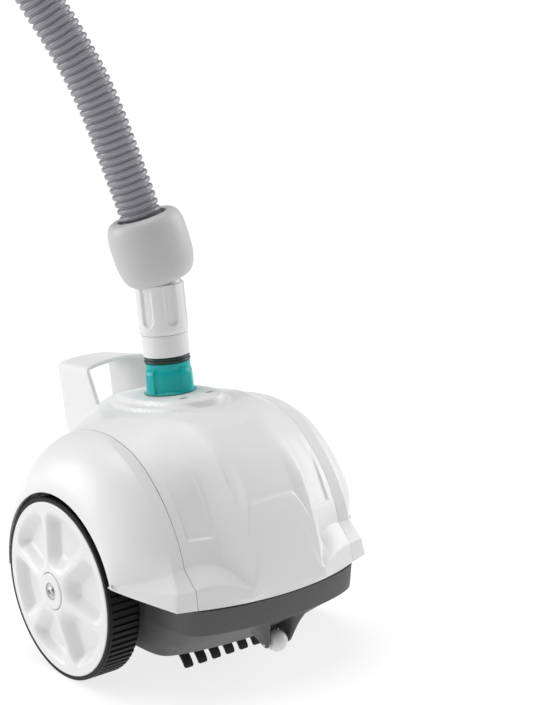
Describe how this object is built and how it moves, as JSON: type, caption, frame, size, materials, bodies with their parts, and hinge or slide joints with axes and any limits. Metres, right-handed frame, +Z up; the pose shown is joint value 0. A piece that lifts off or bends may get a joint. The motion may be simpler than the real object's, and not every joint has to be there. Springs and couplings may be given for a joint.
{
  "type": "pool cleaner",
  "caption": "Suction pool cleaner with domed white cover, two large driven wheels, dark base, carry handle, teal collar, float and swivelling ribbed hose.",
  "frame": {"origin": "middle of the footprint on the floor under the cleaner, without the hose", "axes": "+Z up, the nose and the guide roller face -Y, +X to the right wheel, seen from above the nose looks towards -Y"},
  "size_m": [0.3366, 0.37, 0.7971],
  "materials": {
    "white_shell": "satin moulded plastic, off-white",
    "white_wheel": "satin moulded plastic, off-white",
    "grey_base": "fine matte texture, dark warm grey",
    "tyre_rubber": "matte black rubber",
    "comb_rubber": "matte black rubber",
    "teal_plastic": "glossy teal",
    "seal_rubber": "dark green rubber, slightly shiny",
    "float_foam": "matte warm light grey",
    "hose_grey": "semi-gloss mid grey",
    "roller_plastic": "smooth white",
    "gear_plastic": "natural white acetal",
    "steel": "bright stainless"
  },
  "bodies": {
    "chassis": {"top_cover": "white_shell", "left_side_cover": "white_shell", "right_side_cover": "white_shell", "carry_handle": "white_shell", "base_tray": "grey_base", "suction_plate": "grey_base", "front_comb": "comb_rubber", "rear_comb": "comb_rubber", "roller_pin": "steel", "turbine_housing": "grey_base", "outlet_tube": "white_shell", "o_ring": "seal_rubber", "base_screw_1": "steel", "base_screw_2": "steel", "base_screw_3": "steel", "base_screw_4": "steel", "left_idler_pin": "steel", "right_idler_pin": "steel", "left_shaft_bush": "gear_plastic", "right_shaft_bush": "gear_plastic", "left_drive_carrier": "grey_base", "right_drive_carrier": "grey_base"},
    "left_wheel": {"left_tyre": "tyre_rubber", "left_wheel_disc": "white_wheel", "left_hub_cap": "white_wheel", "left_wheel_washer": "steel", "left_wheel_screw": "steel", "left_stub_axle": "steel", "left_wheel_gear": "gear_plastic"},
    "right_wheel": {"right_tyre": "tyre_rubber", "right_wheel_disc": "white_wheel", "right_hub_cap": "white_wheel", "right_wheel_washer": "steel", "right_wheel_screw": "steel", "right_stub_axle": "steel", "right_wheel_gear": "gear_plastic"},
    "left_idler": {"left_idler_gear": "gear_plastic"},
    "right_idler": {"right_idler_gear": "gear_plastic"},
    "turbine": {"turbine_rotor": "gear_plastic", "turbine_shaft": "steel", "left_pinion": "gear_plastic", "right_pinion": "gear_plastic"},
    "roller": {"guide_roller": "roller_plastic"},
    "collar": {"lock_collar": "teal_plastic"},
    "swivel": {"swivel_sleeve": "white_shell", "hose_connector": "white_shell", "float": "float_foam", "hose": "hose_grey", "hose_cuff": "hose_grey"}
  },
  "joints": [
    {"name": "left_wheel_spin", "type": "hinge", "parent": "chassis", "child": "left_wheel", "pos_m": [-0.138, 0.011, 0.0985], "axis": [1, 0, 0], "continuous": true},
    {"name": "right_wheel_spin", "type": "hinge", "parent": "chassis", "child": "right_wheel", "pos_m": [0.138, 0.011, 0.0985], "axis": [1, 0, 0], "continuous": true},
    {"name": "left_idler_spin", "type": "hinge", "parent": "chassis", "child": "left_idler", "pos_m": [-0.088, -0.01335, 0.14501], "axis": [1, 0, 0], "continuous": true},
    {"name": "right_idler_spin", "type": "hinge", "parent": "chassis", "child": "right_idler", "pos_m": [0.088, -0.01335, 0.14501], "axis": [1, 0, 0], "continuous": true},
    {"name": "turbine_spin", "type": "hinge", "parent": "chassis", "child": "turbine", "pos_m": [0, 0.011, 0.165], "axis": [1, 0, 0], "continuous": true},
    {"name": "guide_roller_spin", "type": "hinge", "parent": "chassis", "child": "roller", "pos_m": [0, -0.157, 0.047], "axis": [1, 0, 0], "continuous": true},
    {"name": "lock_collar_twist", "type": "hinge", "parent": "chassis", "child": "collar", "pos_m": [0, 0.013, 0.282], "axis": [0, 0.0872, 0.9962], "range_deg": [0, 45]},
    {"name": "hose_swivel", "type": "hinge", "parent": "chassis", "child": "swivel", "pos_m": [0, 0.013, 0.282], "axis": [0, 0.0872, 0.9962], "continuous": true}
  ],
  "couplings": [
    {"joint": "right_wheel_spin", "follows": "left_wheel_spin", "ratio": 1},
    {"joint": "left_idler_spin", "follows": "left_wheel_spin", "ratio": -1.3333},
    {"joint": "right_idler_spin", "follows": "left_wheel_spin", "ratio": -1.3333},
    {"joint": "turbine_spin", "follows": "left_wheel_spin", "ratio": 3.3333}
  ]
}
